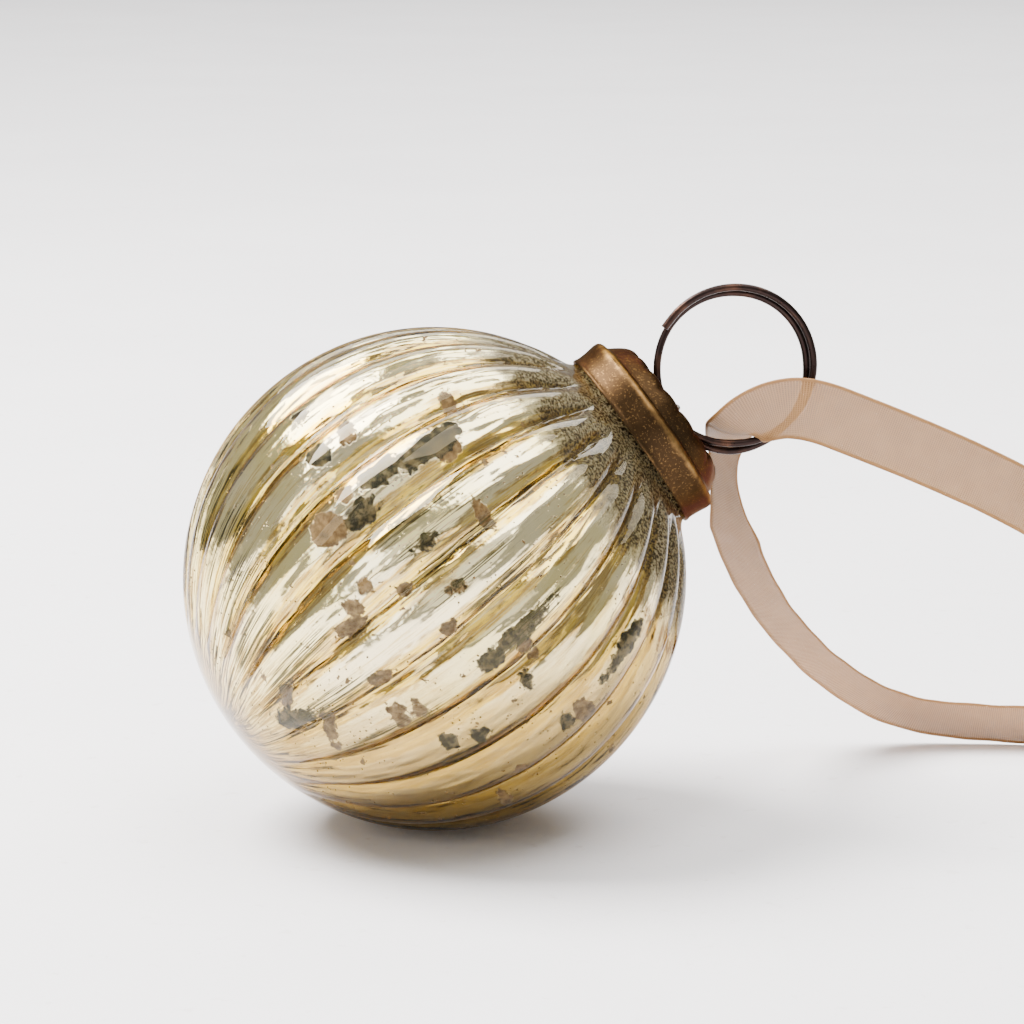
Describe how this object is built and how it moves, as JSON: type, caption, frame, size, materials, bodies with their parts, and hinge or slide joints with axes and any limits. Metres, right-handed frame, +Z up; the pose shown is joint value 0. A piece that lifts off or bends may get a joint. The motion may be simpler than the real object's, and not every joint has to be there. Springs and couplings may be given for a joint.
{
  "type": "glass ball ornament",
  "caption": "Ribbed hollow glass ball with a short neck, a pressed metal cap, a sprung wire hanger, a split ring and a knotted ribbon loop.",
  "frame": {"origin": "the point where the ball touches the table, at the bottom of the ball", "axes": "+Z up from the table; +X is the way that the neck points, seen from above and less 8.3 degrees; +Y away from the front view"},
  "size_m": [0.2062, 0.0853, 0.0821],
  "materials": {
    "gold_glass": "clear blown glass, pale champagne, silvered inside",
    "silvering": "pale gold mirror coat inside the glass, spotted and worn through in places",
    "aged_bronze": "dark aged bronze with rubbed golden edges",
    "hanger_steel": "bronzed spring wire",
    "dark_copper": "nearly black copper, semi-gloss",
    "ribbon": "sheer bronze organza with denser edges"
  },
  "bodies": {
    "glass": {"glass_ball": "gold_glass"},
    "cap": {"cap": "aged_bronze"},
    "hanger": {"hanger_wire": "hanger_steel"},
    "ring": {"split_ring": "dark_copper", "ribbon_front": "ribbon", "ribbon_back": "ribbon", "ribbon_knot": "ribbon", "ribbon_tails": "ribbon"}
  },
  "joints": [
    {"name": "cap_pull", "type": "slide", "parent": "glass", "child": "cap", "axis": [0.8194, 0.1195, 0.5606], "range_m": [0, 0.025]},
    {"name": "hanger_turn", "type": "hinge", "parent": "cap", "child": "hanger", "pos_m": [0.0295, 0.0043, 0.05828], "axis": [0.8194, 0.1195, 0.5606], "continuous": true},
    {"name": "ring_swing", "type": "hinge", "parent": "hanger", "child": "ring", "pos_m": [0.0354, 0.00516, 0.06232], "axis": [-0.5595, -0.0463, 0.8276], "range_deg": [-40, 12]}
  ]
}
